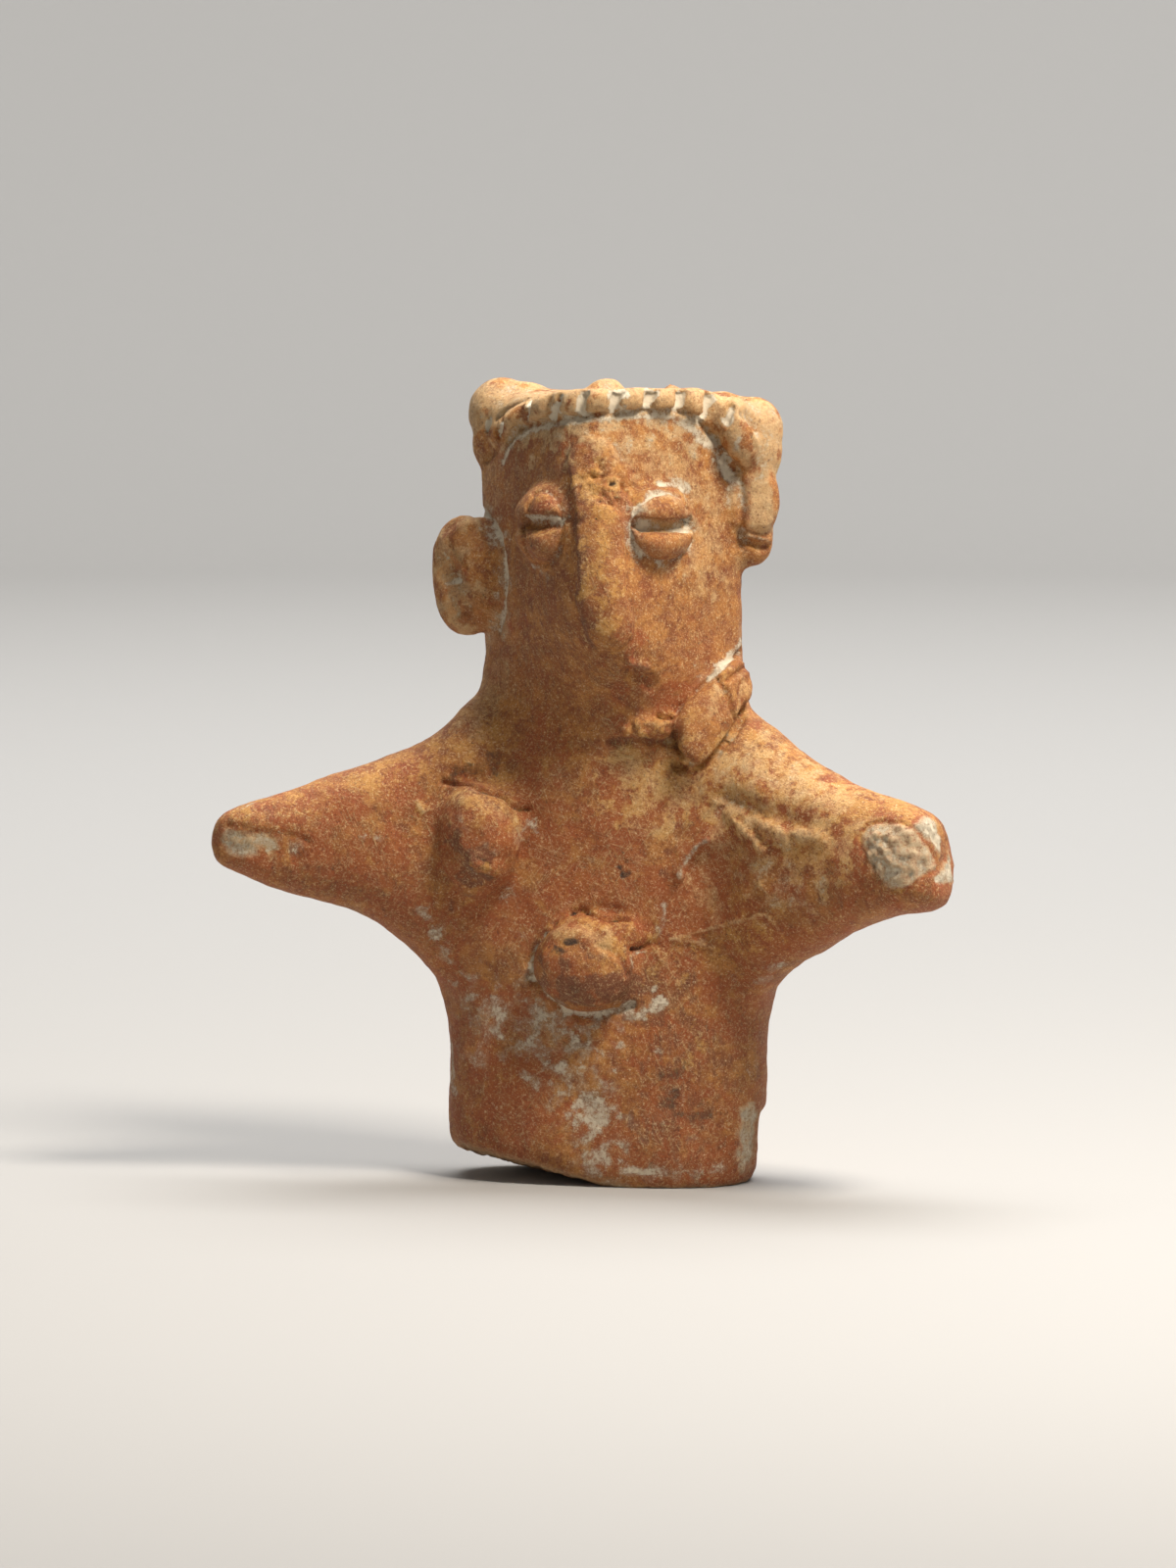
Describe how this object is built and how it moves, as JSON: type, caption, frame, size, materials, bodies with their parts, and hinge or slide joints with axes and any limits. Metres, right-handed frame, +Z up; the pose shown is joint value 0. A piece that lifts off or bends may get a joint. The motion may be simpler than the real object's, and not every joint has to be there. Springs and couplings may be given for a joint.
{
  "type": "terracotta bust",
  "caption": "Hand-modelled terracotta bust with a beaked face, pellet eyes, a notched headband and broken arm stumps, which stands on its broken waist.",
  "frame": {"origin": "on the flat of the underside, in line with the middle of the neck", "axes": "the face looks along -Y, +X is towards the figure's left arm, and +Z is up"},
  "size_m": [0.093, 0.028, 0.0997],
  "materials": {
    "terracotta_bust": "matt, worn fired clay"
  },
  "bodies": {
    "root": {"terracotta_bust": "terracotta_bust"}
  },
  "joints": []
}
